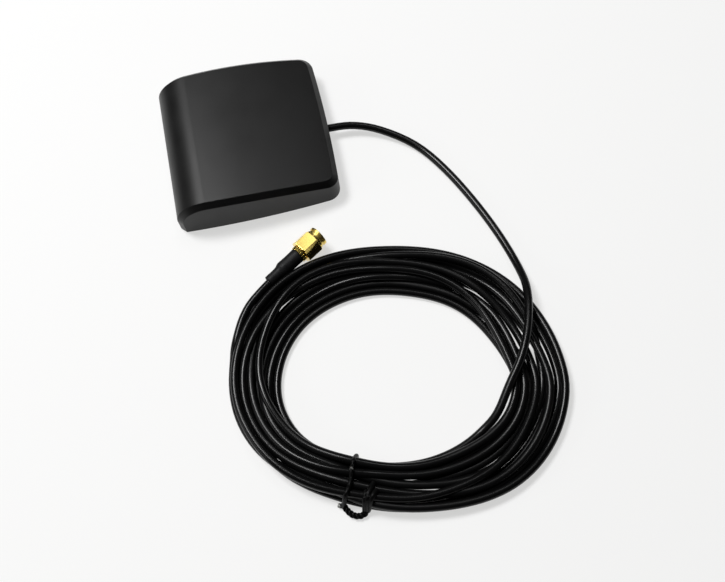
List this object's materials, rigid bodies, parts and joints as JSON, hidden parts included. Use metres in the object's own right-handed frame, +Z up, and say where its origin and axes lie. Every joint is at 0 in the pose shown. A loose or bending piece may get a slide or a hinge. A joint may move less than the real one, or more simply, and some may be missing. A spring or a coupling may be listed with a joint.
{
  "type": "gps antenna",
  "caption": "Low square black patch antenna with a magnetic base, a thin coaxial cable in a tied coil and a gold threaded plug with a turning nut.",
  "frame": {"origin": "middle of the underside of the housing, on the surface that it stands on", "axes": "+Z up, +X towards the wall that the cable leaves, +Y towards the far side in the picture"},
  "size_m": [0.1178, 0.1764, 0.0156],
  "materials": {
    "housing": "fine matt grain",
    "seal": "soft",
    "screw_steel": "satin",
    "magnet_nickel": "bright",
    "board": "solder mask",
    "adhesive": "foam tape",
    "ceramic": "fired",
    "silver": "printed silver",
    "tinned": "tinned",
    "chip": "moulded",
    "copper": "bare",
    "dielectric": "smooth",
    "cable_jacket": "satin",
    "tie": "satin",
    "sleeve": "matt",
    "gold": "gold plated",
    "gasket": "silicone"
  },
  "bodies": {
    "antenna": {"top_cover": "housing", "base_plate": "housing", "cover_seal": "seal", "cable_grommet": "seal", "base_screws": "screw_steel", "magnet_far": "magnet_nickel", "magnet_near": "magnet_nickel", "circuit_board": "board", "patch_pad": "adhesive", "patch_ceramic": "ceramic", "patch_electrode": "silver", "feed_pin": "tinned", "shield_can": "tinned", "solder_joints": "tinned", "coax_braid": "tinned", "amplifier_chip": "chip", "filter_chip": "chip", "passive_parts": "chip", "coax_core": "copper", "tail_core": "copper", "coax_dielectric": "dielectric", "tail_dielectric": "dielectric", "connector_insulator": "dielectric", "cable_lead": "cable_jacket", "cable_coil": "cable_jacket", "cable_tail": "cable_jacket", "twist_tie": "tie", "heat_shrink_sleeve": "sleeve", "crimp_ferrule": "gold", "connector_body": "gold", "centre_pin": "gold", "nut_retaining_ring": "gold", "nut_gasket": "gasket"},
    "plug_nut": {"coupling_nut": "gold"}
  },
  "joints": [
    {"name": "nut_turn", "type": "hinge", "parent": "antenna", "child": "plug_nut", "pos_m": [0.0108, -0.0487, 0.00465], "axis": [0.8368, 0.5476, 0], "continuous": true}
  ]
}
